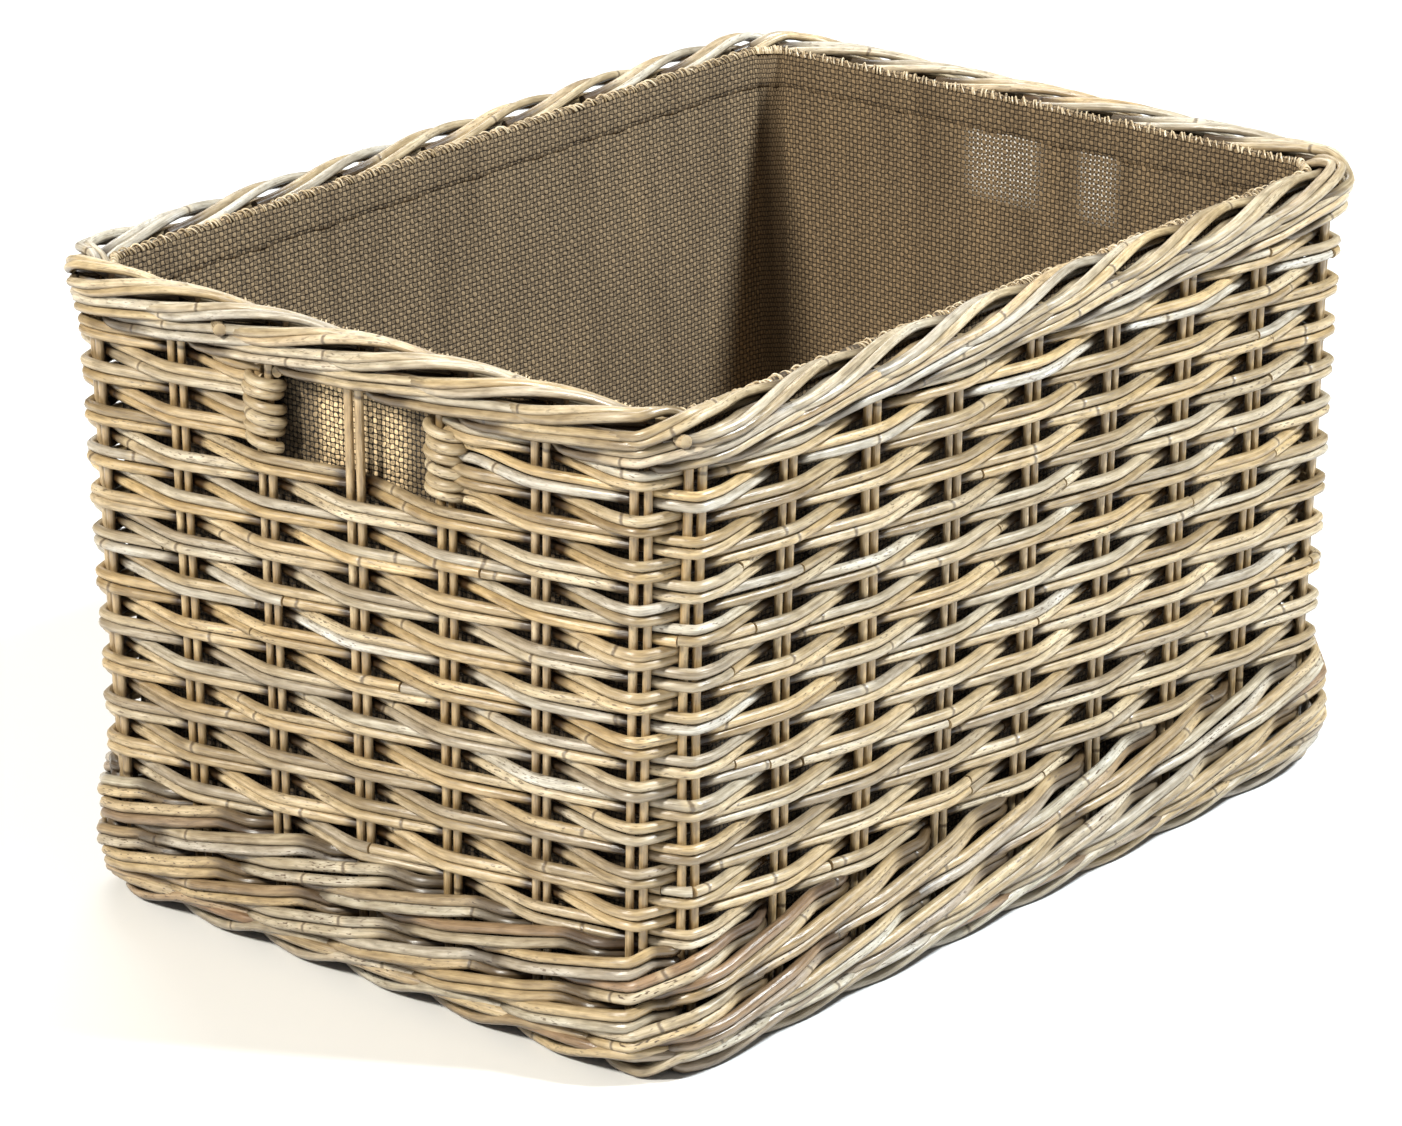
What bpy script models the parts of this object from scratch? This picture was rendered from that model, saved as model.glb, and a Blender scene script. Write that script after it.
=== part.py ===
"""A rectangular wicker log basket with a hessian liner, modelled piece by piece.

Metres, +Z up. The origin is on the floor under the middle of the basket, +X runs along its length,
and the long front side faces -Y. Every wall piece follows one rounded rectangle, the stake line,
and is placed by how far it stands out from that line and how high it is.
"""

import math

import bmesh
import bpy

MM = 0.001

# The stake line: the rounded rectangle that the upright stakes stand on.
HALF_LENGTH = 263.5 * MM
HALF_WIDTH = 190.0 * MM
CORNER_RADIUS = 31.0 * MM
ARC_STEPS = 5
# The front and back walls lean out: the width grows by this share per metre above the middle height.
LEAN = 0.18
LEAN_HEIGHT = 182.0 * MM

# Stakes: pairs of thin rods, each pair one rod folded like a hairpin.
LONG_SIDE_STAKES = 9
SHORT_SIDE_STAKES = 7
LONG_SPACING = 61.2 * MM
SHORT_SPACING = 56.8 * MM
STAKE_RADIUS = 2.5 * MM
LEG_OFFSET = 3.6 * MM
STAKE_TOP = 313.4 * MM
STAKE_FOLD = 19.0 * MM
STAKE_BOTTOM = 17.2 * MM

# Weavers: every row passes outside one stake and inside the next.
ROWS = 22
ROW_PITCH = 10.7 * MM
ROW_HEIGHT = 10.2 * MM
WEAVE_TOP = 299.8 * MM
WEAVER_THICKNESS = 4.4 * MM
WEAVER_SWING = 6.0 * MM
WEAVER_TAIL = 8.0 * MM
CORNER_TUCK = 6.6 * MM
STEP_STAKE = 20

# Hand holes: the top rows turn back round the stakes on either side of one middle stake.
HOLE_COURSES = 2
FRONT_RUN = (29, 43)
BACK_RUN = (13, 27)
TURN_REACH = 11.0 * MM
TURN_START = 7.0 * MM

# Sections of the rings, as (distance out from the stake line, height) in millimetres.
RIM_WALE_OUTER = [(3.6, 300.2), (9.6, 300.2), (11.6, 303), (11.6, 311), (9.8, 313.6), (3.6, 313.6)]
RIM_WALE_INNER = [(-8.6, 300.2), (-3.6, 300.2), (-3.6, 313.6), (-8.6, 313.6)]
RIM_BORDER = [(-9.5, 314), (11, 314), (13.4, 317), (13.4, 323), (9, 327), (3, 328), (-5, 327), (-9.5, 323)]
FOOT_WALE_UPPER = [(3.6, 39.2), (15.4, 39.2), (16.6, 44), (15, 53), (11, 61.5), (8, 64), (3.6, 64)]
FOOT_WALE_LOWER = [(3.6, 14.4), (13, 14.4), (15.6, 20), (17, 28), (16.8, 35), (15.6, 38.8), (3.6, 38.8)]
FOOT_BORDER = [(-13, 0), (8.5, 0), (11.5, 2.5), (12.6, 8), (11.6, 14), (-13, 14)]
LINER_HEM = [(-13.4, 300.4), (-9.9, 300.4), (-9.9, 321), (-11.6, 322), (-13.4, 321)]

# The base: a round hoop inside the stakes, and a mat of woven rods inside the hoop.
HOOP_OUT = -8.6 * MM
HOOP_HEIGHT = 19.8 * MM
HOOP_RADIUS = 4.6 * MM
MAT_OUT = -13.8 * MM
MAT_BOTTOM = 16.0 * MM
MAT_TOP = 24.0 * MM

# The liner: one strip round the walls and one piece on the floor.
CLOTH_THICKNESS = 1.6 * MM
CLOTH_OUT = -9.9 * MM
WALL_BOTTOM = 27.2 * MM
WALL_TOP = 300.0 * MM
FLOOR_BOTTOM = 25.2 * MM

# One finish for each kind of piece: colour, roughness, metallic.
FINISHES = {
    "stake": ((0.62, 0.47, 0.27), 0.55, 0.0),
    "weaver": ((0.52, 0.43, 0.31), 0.6, 0.0),
    "rim": ((0.55, 0.47, 0.36), 0.6, 0.0),
    "foot": ((0.45, 0.36, 0.24), 0.62, 0.0),
    "base": ((0.42, 0.33, 0.22), 0.65, 0.0),
    "liner": ((0.33, 0.27, 0.17), 0.9, 0.0),
}


def clear_scene():
    for obj in list(bpy.data.objects):
        bpy.data.objects.remove(obj, do_unlink=True)


def make_collection(name):
    collection = bpy.data.collections.new(name)
    bpy.context.scene.collection.children.link(collection)
    return collection


def make_materials():
    materials = {}
    for name, (colour, roughness, metallic) in FINISHES.items():
        material = bpy.data.materials.new(name)
        material.use_nodes = True
        shader = material.node_tree.nodes["Principled BSDF"]
        shader.inputs["Base Color"].default_value = (*colour, 1.0)
        shader.inputs["Roughness"].default_value = roughness
        shader.inputs["Metallic"].default_value = metallic
        material.diffuse_color = (*colour, 1.0)
        materials[name] = material
    return materials


def lean(x, y, z):
    """The point moved outwards or inwards with the lean of the front and back walls."""
    return (x, y * (1 + LEAN * (z - LEAN_HEIGHT)), z)


def wall_line(out):
    """Points round the stake line, counterclockwise, moved out by a distance."""
    radius = CORNER_RADIUS + out
    centre_x = HALF_LENGTH - CORNER_RADIUS
    centre_y = HALF_WIDTH - CORNER_RADIUS
    points = []
    for corner, (side_x, side_y) in enumerate([(1, -1), (1, 1), (-1, 1), (-1, -1)]):
        start = math.radians(90 * corner - 90)
        for step in range(ARC_STEPS + 1):
            angle = start + math.radians(90) * step / ARC_STEPS
            points.append((side_x * centre_x + radius * math.cos(angle),
                           side_y * centre_y + radius * math.sin(angle)))
    return points


def side_stations(facing, count, spacing, half_run, depth):
    """(x, y, outward angle) of the stakes on one side. The end ones stand on the rounded corners."""
    stations = []
    for number in range(count):
        along = (number - (count - 1) / 2) * spacing
        into_corner = max(0.0, abs(along) - (half_run - CORNER_RADIUS))
        turn = math.copysign(math.asin(into_corner / CORNER_RADIUS), along)
        out = depth - CORNER_RADIUS * (1 - math.cos(turn))
        stations.append((out * math.cos(facing) - along * math.sin(facing),
                         out * math.sin(facing) + along * math.cos(facing),
                         facing + turn))
    return stations


def stake_stations():
    """All stakes, counterclockwise from the front's left end."""
    stations = []
    for quarter in range(4):
        facing = math.radians(90 * quarter - 90)
        if quarter % 2 == 0:
            stations += side_stations(facing, LONG_SIDE_STAKES, LONG_SPACING, HALF_LENGTH, HALF_WIDTH)
        else:
            stations += side_stations(facing, SHORT_SIDE_STAKES, SHORT_SPACING, HALF_WIDTH, HALF_LENGTH)
    return stations


def beside(station, along, out):
    """The plan point at a distance along the wall and out from it, seen from a stake."""
    x, y, facing = station
    return (x + out * math.cos(facing) - along * math.sin(facing),
            y + out * math.sin(facing) + along * math.cos(facing))


def poly_curve(name, points, closed):
    """A curve with one straight-sided spline through (x, y, z) points."""
    curve = bpy.data.curves.new(name, "CURVE")
    curve.dimensions = "3D"
    spline = curve.splines.new("POLY")
    spline.points.add(len(points) - 1)
    for point, place in zip(spline.points, points):
        point.co = (*place, 1.0)
    spline.use_cyclic_u = closed
    return curve


def make_section(name, outline, guides):
    """An outline of (distance out, height) points, for other curves to take as their section.

    The outline is given counterclockwise and drawn clockwise, which turns the swept faces outwards.
    """
    curve = poly_curve(name, [(out, up, 0.0) for out, up in reversed(outline)], closed=True)
    curve.dimensions = "2D"
    curve.fill_mode = "NONE"
    section = bpy.data.objects.new(name, curve)
    section.hide_render = True
    section.display_type = "WIRE"
    guides.objects.link(section)
    return section


def swept(name, path, section, closed):
    """A solid with one section all along a path, kept upright."""
    curve = poly_curve(name, [lean(*place) for place in path], closed)
    curve.twist_mode = "Z_UP"
    curve.bevel_mode = "OBJECT"
    curve.bevel_object = section
    curve.use_fill_caps = not closed
    curve.splines[0].use_smooth = False
    return curve


def rod(name, path, radius, closed):
    """A round rod along a path."""
    curve = poly_curve(name, [lean(*place) for place in path], closed)
    curve.bevel_depth = radius
    curve.bevel_resolution = 1
    curve.use_fill_caps = not closed
    return curve


def ring(name, outline_mm, guides):
    """A ring all round the basket. Its path runs along the middle height of its section."""
    heights = [up for _, up in outline_mm]
    middle = (min(heights) + max(heights)) / 2
    outline = [(out * MM, (up - middle) * MM) for out, up in outline_mm]
    path = [(x, y, middle * MM) for x, y in wall_line(0.0)]
    return swept(name, path, make_section(f"{name}_section", outline, guides), closed=True)


def stake(name, station):
    """A hairpin: two legs side by side, joined by a fold at the foot."""
    fold = LEG_OFFSET / 2
    route = [(-LEG_OFFSET, STAKE_TOP), (-LEG_OFFSET, STAKE_FOLD), (-fold, STAKE_BOTTOM),
             (fold, STAKE_BOTTOM), (LEG_OFFSET, STAKE_FOLD), (LEG_OFFSET, STAKE_TOP)]
    path = [(*beside(station, along, 0.0), height) for along, height in route]
    return rod(name, path, STAKE_RADIUS, closed=False)


def hoop(name):
    """The round rod inside the foot of the stakes, which carries the mat."""
    path = [(x, y, HOOP_HEIGHT) for x, y in wall_line(HOOP_OUT)]
    return rod(name, path, HOOP_RADIUS, closed=True)


def plate(name, out, bottom, top):
    """A flat plate in the basket's outline, and the height of its middle."""
    middle = (bottom + top) / 2
    outline = [lean(x, y, middle) for x, y in wall_line(out)]
    curve = poly_curve(name, [(x, y, 0.0) for x, y, _ in outline], closed=True)
    curve.dimensions = "2D"
    curve.fill_mode = "BOTH"
    curve.extrude = (top - bottom) / 2
    return curve, middle


def cloth_wall(name):
    """The open surface of the liner's upright strip, for Solidify to thicken inwards."""
    shape = bmesh.new()
    edges = []
    for height in (WALL_BOTTOM, WALL_TOP):
        loop = [shape.verts.new(lean(x, y, height)) for x, y in wall_line(CLOTH_OUT)]
        edges += [shape.edges.new((loop[index - 1], loop[index])) for index in range(len(loop))]
    bmesh.ops.bridge_loops(shape, edges=edges)
    for face in shape.faces:
        middle = face.calc_center_median()
        if face.normal.x * middle.x + face.normal.y * middle.y < 0:
            face.normal_flip()
    mesh = bpy.data.meshes.new(name)
    shape.to_mesh(mesh)
    shape.free()
    return mesh


def row_height(row):
    """The middle height of a row. Rows are counted down from the rim."""
    return WEAVE_TOP - (row + 0.5) * ROW_PITCH


def swing(number, row):
    """How far out a row passes a stake. It changes side at every stake and at every row."""
    return WEAVER_SWING if (number + row) % 2 else -WEAVER_SWING


def by_corner(number):
    """Whether a stake is the first or the last of its side."""
    place = number % (LONG_SIDE_STAKES + SHORT_SIDE_STAKES)
    return place in (0, LONG_SIDE_STAKES - 1, LONG_SIDE_STAKES, LONG_SIDE_STAKES + SHORT_SIDE_STAKES - 1)


def row_run(stations, row, first, last):
    """The path of one row from one stake to another, counterclockwise."""
    path = []
    for number in range(first, last + 1):
        steps = (-CORNER_TUCK, CORNER_TUCK) if by_corner(number) else (0.0,)
        for along in steps:
            place = beside(stations[number % len(stations)], along, swing(number, row))
            path.append((*place, row_height(row)))
    return path


def turn_back(station, out, start_height, end_height, way):
    """The bend of a row round the stake beside a hand hole, on to the next row."""
    return [(*beside(station, way * TURN_START, out), start_height),
            (*beside(station, way * TURN_REACH, 0.0), (start_height + end_height) / 2),
            (*beside(station, way * TURN_START, -out), end_height)]


def full_weaver(name, stations, course, section):
    """A weaver that goes round twice, climbing one row between two stakes at the back."""
    upper, lower = 2 * course, 2 * course + 1
    last = STEP_STAKE + len(stations) - 1
    start, end = stations[STEP_STAKE], stations[last % len(stations)]
    path = [(*beside(start, -WEAVER_TAIL, swing(STEP_STAKE, lower)), row_height(lower))]
    path += row_run(stations, lower, STEP_STAKE, last)
    path += row_run(stations, upper, STEP_STAKE, last)
    path.append((*beside(end, WEAVER_TAIL, swing(last, upper)), row_height(upper)))
    return swept(name, path, section, closed=False)


def looped_weaver(name, stations, course, run, section):
    """A weaver that covers one half of the basket and turns back at both hand holes."""
    upper, lower = 2 * course, 2 * course + 1
    first, last = run
    near, far = stations[first % len(stations)], stations[last % len(stations)]
    path = row_run(stations, upper, first, last)
    path += turn_back(far, swing(last, upper), row_height(upper), row_height(lower), 1)
    path += reversed(row_run(stations, lower, first, last))
    path += turn_back(near, swing(first, lower), row_height(lower), row_height(upper), -1)
    return swept(name, path, section, closed=True)


def main():
    clear_scene()
    materials = make_materials()
    parts = make_collection("wicker_log_basket")
    guides = make_collection("sections")
    stations = stake_stations()

    def add(name, data, finish):
        data.materials.append(materials[finish])
        obj = bpy.data.objects.new(name, data)
        parts.objects.link(obj)
        return obj

    def add_plate(name, out, bottom, top, finish):
        curve, middle = plate(name, out, bottom, top)
        add(name, curve, finish).location.z = middle

    for number, station in enumerate(stations, 1):
        name = f"stake_{number:02d}"
        add(name, stake(name, station), "stake")

    half_thick, half_high = WEAVER_THICKNESS / 2, ROW_HEIGHT / 2
    strand = make_section("weaver_section", [(-half_thick, -half_high), (half_thick, -half_high),
                                             (half_thick, half_high), (-half_thick, half_high)], guides)
    for course in range(ROWS // 2):
        name = f"weaver_{course + 1:02d}"
        if course < HOLE_COURSES:
            add(f"{name}_front", looped_weaver(name, stations, course, FRONT_RUN, strand), "weaver")
            add(f"{name}_back", looped_weaver(name, stations, course, BACK_RUN, strand), "weaver")
        else:
            add(name, full_weaver(name, stations, course, strand), "weaver")

    for name, outline, finish in (("rim_wale_outer", RIM_WALE_OUTER, "rim"),
                                  ("rim_wale_inner", RIM_WALE_INNER, "rim"),
                                  ("rim_border", RIM_BORDER, "rim"),
                                  ("foot_wale_upper", FOOT_WALE_UPPER, "foot"),
                                  ("foot_wale_lower", FOOT_WALE_LOWER, "foot"),
                                  ("foot_border", FOOT_BORDER, "foot"),
                                  ("liner_hem", LINER_HEM, "liner")):
        add(name, ring(name, outline, guides), finish)

    add("base_hoop", hoop("base_hoop"), "base")
    add_plate("base_mat", MAT_OUT, MAT_BOTTOM, MAT_TOP, "base")
    add_plate("liner_floor", CLOTH_OUT, FLOOR_BOTTOM, FLOOR_BOTTOM + CLOTH_THICKNESS, "liner")
    wall = add("liner_wall", cloth_wall("liner_wall"), "liner")
    thicken = wall.modifiers.new("Cloth thickness", "SOLIDIFY")
    thicken.thickness = CLOTH_THICKNESS
    thicken.offset = -1.0


main()
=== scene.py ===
"""The looks of the wicker log basket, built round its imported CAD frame.

Each CAD band becomes the separate rods that it stands for. Rods run round the stake line, which is
the outline that the stakes stand on. A place on the wall is given by a stake number, which may lie
between two stakes, a distance out from the line, and a height. Stake 0 is the front's left end, and
the numbers go counterclockwise.
"""

import collections
import math

import bpy
import numpy as np
from mathutils import Matrix, Vector


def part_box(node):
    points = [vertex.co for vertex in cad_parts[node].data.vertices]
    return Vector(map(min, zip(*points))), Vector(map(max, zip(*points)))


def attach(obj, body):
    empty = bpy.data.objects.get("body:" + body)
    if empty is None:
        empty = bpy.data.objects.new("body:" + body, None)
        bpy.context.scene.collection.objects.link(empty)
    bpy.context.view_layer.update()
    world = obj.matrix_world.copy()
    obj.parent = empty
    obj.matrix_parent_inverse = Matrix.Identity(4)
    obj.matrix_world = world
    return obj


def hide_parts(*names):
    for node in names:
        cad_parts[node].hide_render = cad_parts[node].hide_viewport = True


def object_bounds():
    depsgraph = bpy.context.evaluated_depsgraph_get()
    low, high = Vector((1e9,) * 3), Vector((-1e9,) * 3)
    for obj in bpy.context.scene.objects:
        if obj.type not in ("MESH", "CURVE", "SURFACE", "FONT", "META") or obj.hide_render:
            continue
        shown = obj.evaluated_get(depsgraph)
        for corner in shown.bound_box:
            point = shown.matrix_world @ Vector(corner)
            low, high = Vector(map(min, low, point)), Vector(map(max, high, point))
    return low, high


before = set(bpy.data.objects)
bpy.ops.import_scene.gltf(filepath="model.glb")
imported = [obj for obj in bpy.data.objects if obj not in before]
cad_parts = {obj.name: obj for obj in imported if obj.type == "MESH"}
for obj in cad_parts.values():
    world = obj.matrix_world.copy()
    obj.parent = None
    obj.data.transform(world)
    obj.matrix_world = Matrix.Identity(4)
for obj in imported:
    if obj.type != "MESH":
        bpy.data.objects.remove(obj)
cad_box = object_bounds()

MM = 0.001
STAKES = 32
COURSES = 11
UP = np.array((0.0, 0.0, 1.0))

# A corner's radius, and the degrees round it at which the outline has a point.
CORNER_RADIUS = 31.0 * MM
CORNER_BENDS = (0, 20, 26, 64, 70, 90)

# How finely rods are drawn: points from one stake to the next, points round a rod, and their angles.
STEPS = 12
SIDES = 10
SECTION = np.linspace(0, 2 * math.pi, SIDES, endpoint=False)

# The radii of the rods and of the sewing thread, and the thickness of the cloth.
WEAVER_RADIUS = 2.62 * MM
RIM_RADIUS = 2.45 * MM
FOOT_RADIUS = 2.95 * MM
WRAP_RADIUS = 2.9 * MM
MAT_RADIUS = 1.9 * MM
THREAD_RADIUS = 0.45 * MM
CLOTH_THICKNESS = 1.2 * MM

# The air between a rod and the stake that it passes, how many radii each of a row's two rods lies from
# the row's middle, and how thick a drawn stake is as a share of the CAD stake.
CLEARANCE = 0.3 * MM
PACKING = 1.02
STAKE_FULLNESS = 0.88

# Ranges of random draws: where a wave starts, in radians, and how thick a rod is against its usual radius.
ANY_START = (0, 6)
GIRTH_RANGE = (0.93, 1.04)

# How many sticks cross the base, how close its rods lie in radii, and how close the stitches are.
BASE_STICKS = 11
MAT_SPACING = 2.1
STITCH_SPACING = 3.0 * MM

# Detail of the materials: growth rings along a rod, how far apart an object's rods lie in the willow, so
# that no two look alike, and the hessian's threads.
NODES_PER_METRE = 4.3
ROD_STAGGER = 1.37
THREAD_SPACING = 2.6 * MM

# The tones of the willow: each rod of a piece has a colour between two of these.
STAKE_TONES = ((0.44, 0.31, 0.15), (0.58, 0.42, 0.22), (0.52, 0.40, 0.25))
WEAVER_TONES = ((0.50, 0.46, 0.38), (0.52, 0.41, 0.25), (0.36, 0.28, 0.17), (0.56, 0.42, 0.23),
                (0.48, 0.43, 0.34), (0.60, 0.45, 0.24), (0.30, 0.22, 0.12), (0.55, 0.52, 0.46))
RIM_TONES = ((0.54, 0.50, 0.42), (0.58, 0.48, 0.32), (0.38, 0.30, 0.19), (0.62, 0.49, 0.29),
             (0.52, 0.49, 0.43), (0.58, 0.43, 0.24))
FOOT_TONES = ((0.30, 0.19, 0.11), (0.46, 0.36, 0.22), (0.52, 0.48, 0.39), (0.38, 0.28, 0.16),
              (0.58, 0.46, 0.28), (0.48, 0.36, 0.20), (0.54, 0.50, 0.43), (0.28, 0.19, 0.11))
BASE_TONES = ((0.50, 0.42, 0.31), (0.48, 0.37, 0.24), (0.40, 0.29, 0.17))
STITCH_TONES = ((0.72, 0.60, 0.42), (0.50, 0.39, 0.24))

# Marks on the willow, and what its colour is multiplied by for painted shade, in recesses and on undersides.
SPECK = (0.10, 0.06, 0.03, 1.0)
NODE_COLLAR = (0.62, 0.50, 0.32, 1.0)
NODE_RING = (0.07, 0.04, 0.02, 1.0)
CUT_WOOD = (0.46, 0.34, 0.19, 1.0)
PAINTED_SHADE_TINT = (0.10, 0.065, 0.033, 1.0)

# The hessian: its threads, and what shows between them. The shaded thread and gap are painted shade on the
# outer face, the thread behind the hand holes is painted light, and the black gap and the daylight are
# painted shade and painted light seen through parted threads.
TAN_THREAD = (0.33, 0.235, 0.135, 1.0)
SHADED_THREAD = (0.10, 0.068, 0.036, 1.0)
LIT_THREAD = (0.80, 0.60, 0.35, 1.0)
DIM_GAP = (0.05, 0.034, 0.019, 1.0)
SHADED_GAP = (0.012, 0.008, 0.005, 1.0)
BLACK_GAP = (0.01, 0.007, 0.004, 1.0)
DAYLIGHT = (0.95, 0.92, 0.86, 1.0)

# The runs of weaving between the hand holes, as the numbers of the stakes that they turn back at.
FRONT_RUN = (29, 43)
BACK_RUN = (13, 27)

# Where the rods of a border start and end, in stakes counted from their own.
BORDER_SPAN = (-0.6, 2.2)

# Cut rod ends in the rim: stake number, height, reach past the face, and how far they run along the wall
# in stakes.
CUT_ENDS = ((31.5, 313.0 * MM, 1.2 * MM, 0.2), (26.4, 313.5 * MM, 1.4 * MM, 0.35),
            (9.6, 312.0 * MM, 1.2 * MM, 0.3), (20.4, 313.0 * MM, 1.0 * MM, 0.3))

# The camera: where it stands, where it looks, how far down, how it rolls, and its lens in millimetres.
CAMERA_PLACE = (-2.0330, -1.7284, 1.1365)
CAMERA_HEADING = math.radians(40.63)
CAMERA_DOWN = math.radians(20.53)
CAMERA_ROLL = math.radians(-0.407)
CAMERA_LENS = 145.35

Rod = collections.namedtuple("Rod", "path radii level tone recess")


# Sizes read from the frame.

def size_of(node, axis):
    low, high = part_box(node)
    return high[axis] - low[axis]


def middle_of(node, axis):
    low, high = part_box(node)
    return (high[axis] + low[axis]) / 2


END_STAKE = "stake_13"
FRONT_STAKE = "stake_05"
HALF_LENGTH = middle_of(END_STAKE, 0)
STAKE_RADIUS = size_of(END_STAKE, 0) / 2
LEG_OFFSET = size_of(END_STAKE, 1) / 2 - STAKE_RADIUS
STAKE_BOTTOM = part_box(END_STAKE)[0].z + STAKE_RADIUS
STAKE_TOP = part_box(END_STAKE)[1].z
WIDTH_AT_TOP = -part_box(FRONT_STAKE)[0].y - STAKE_RADIUS
WIDTH_AT_BOTTOM = -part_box(FRONT_STAKE)[1].y + STAKE_RADIUS
HALF_WIDTH = (WIDTH_AT_TOP + WIDTH_AT_BOTTOM) / 2
WEAVER_SWING = STAKE_RADIUS + WEAVER_RADIUS + CLEARANCE


def lean(height):
    """How many times the width at middle height the basket is wide at a height."""
    share = (height - STAKE_BOTTOM) / (STAKE_TOP - STAKE_BOTTOM)
    return (WIDTH_AT_BOTTOM + (WIDTH_AT_TOP - WIDTH_AT_BOTTOM) * share) / HALF_WIDTH


def stake_outline():
    """Plan points and outward directions round the stake line, from the left end of the front's straight.

    Rods bend at the corner stakes and run straight between them, so a corner is cut across.
    """
    reach_x, reach_y = HALF_LENGTH - CORNER_RADIUS, HALF_WIDTH - CORNER_RADIUS
    points, outward = [(-reach_x, -HALF_WIDTH)], [(0.0, -1.0)]
    for start, side_x, side_y in ((-90, 1, -1), (0, 1, 1), (90, -1, 1), (180, -1, -1)):
        for angle in np.radians(start + np.array(CORNER_BENDS)):
            direction = np.array((math.cos(angle), math.sin(angle)))
            points.append((side_x * reach_x, side_y * reach_y) + CORNER_RADIUS * direction)
            outward.append(direction)
    return np.array(points), np.array(outward)


OUTLINE, OUTWARD = stake_outline()
LENGTHS = np.append(0.0, np.cumsum(np.linalg.norm(np.diff(OUTLINE, axis=0), axis=1)))
PERIMETER = LENGTHS[-1]


def stake_lengths():
    """How far round the stake line each stake stands. Stake 0 is just before the line's start."""
    samples_per_stake = 200
    fine = np.linspace(0, PERIMETER, samples_per_stake * STAKES)
    x = np.interp(fine, LENGTHS, OUTLINE[:, 0])
    y = np.interp(fine, LENGTHS, OUTLINE[:, 1])
    found = []
    for number in range(STAKES):
        node = f"stake_{number + 1:02d}"
        gap = np.hypot(x - middle_of(node, 0), y - middle_of(node, 1))
        found.append(fine[gap.argmin()])
    found[0] -= PERIMETER
    return np.array(found)


STAKE_LENGTHS = stake_lengths()
NUMBERS = np.arange(-1, STAKES + 1)
LENGTH_AT = np.concatenate([STAKE_LENGTHS[-1:] - PERIMETER, STAKE_LENGTHS,
                            STAKE_LENGTHS[:1] + PERIMETER])


def on_wall(number, out, height):
    """Points in space, from arrays of stake numbers, distances out and heights."""
    number, out, height = np.broadcast_arrays(number, out, height)
    length = np.interp(number % STAKES, NUMBERS, LENGTH_AT) % PERIMETER
    x = np.interp(length, LENGTHS, OUTLINE[:, 0]) + out * np.interp(length, LENGTHS, OUTWARD[:, 0])
    y = np.interp(length, LENGTHS, OUTLINE[:, 1]) + out * np.interp(length, LENGTHS, OUTWARD[:, 1])
    return np.stack([x, y * lean(height), height], axis=-1)


def along_stakes(number, distance):
    """The stake number that lies a distance along the wall from a stake."""
    return np.interp(np.interp(number % STAKES, NUMBERS, LENGTH_AT) + distance, LENGTH_AT, NUMBERS)


# Rods and their meshes.

def smooth(share):
    """0 before 0, 1 after 1, and an even curve between."""
    share = np.clip(share, 0, 1)
    return share * share * (3 - 2 * share)


def within(value, first, last, ease):
    """1 between two values and 0 outside them, with an even curve as long as the ease inside each."""
    return smooth((value - first) / ease) * smooth((last - value) / ease)


def wander(number, size, rng):
    """A slow, uneven drift along a rod: three waves, each quicker and smaller than the one before."""
    waves = [(size / rate, rate, rng.uniform(0, 2 * math.pi)) for rate in (1.0, 1.9, 3.3)]
    return sum(high * np.sin(rate * number + start) for high, rate, start in waves)


def girths(count, radius, rng):
    """Radii along a rod: it tapers a little and is never quite even."""
    thinnest_end, bump_size, points_per_radian = 0.86, 0.03, 5
    taper = np.linspace(1, rng.uniform(thinnest_end, 1.0), count)
    if rng.random() < 0.5:
        taper = taper[::-1]
    bumps = bump_size * np.sin(np.linspace(0, count / points_per_radian, count) + rng.uniform(*ANY_START))
    return radius * (taper + bumps) * rng.uniform(*GIRTH_RANGE)


def rod_points(rod):
    """The rings of points of one rod, and the distance along it and the place across it of each."""
    ahead = np.gradient(rod.path, axis=0)
    ahead /= np.linalg.norm(ahead, axis=1, keepdims=True)
    across = np.cross(ahead, rod.level)
    across /= np.linalg.norm(across, axis=1, keepdims=True)
    over = np.cross(across, ahead)
    radii = rod.radii[:, None]
    side, top = radii * np.cos(SECTION), radii * np.sin(SECTION)
    rings = rod.path[:, None] + side[..., None] * across[:, None] + top[..., None] * over[:, None]
    steps = np.linalg.norm(np.diff(rod.path, axis=0), axis=1)
    along = np.repeat(np.append(0.0, np.cumsum(steps))[:, None], SIDES, axis=1)
    return rings, np.stack([along, side, top], axis=-1)


def rod_faces(rings, start):
    """Quads between the rings, and one face on each cut end. The end rings are drawn twice."""
    first = start + np.arange(rings - 1)[:, None] * SIDES + np.arange(SIDES)
    after = start + np.arange(rings - 1)[:, None] * SIDES + (np.arange(SIDES) + 1) % SIDES
    quads = np.stack([first, first + SIDES, after + SIDES, after], axis=-1).reshape(-1, 4)
    near_end = start + rings * SIDES
    far_end = near_end + SIDES
    near_cap = list(range(near_end, far_end))
    far_cap = list(range(far_end + SIDES - 1, far_end - 1, -1))
    return [*quads.tolist(), near_cap, far_cap]


def set_attribute(mesh, name, values, vector=False):
    """A number or a vector at each point of a mesh, for its material to read."""
    kind, field = ("FLOAT_VECTOR", "vector") if vector else ("FLOAT", "value")
    mesh.attributes.new(name, kind, "POINT").data.foreach_set(field, np.ravel(values))


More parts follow.
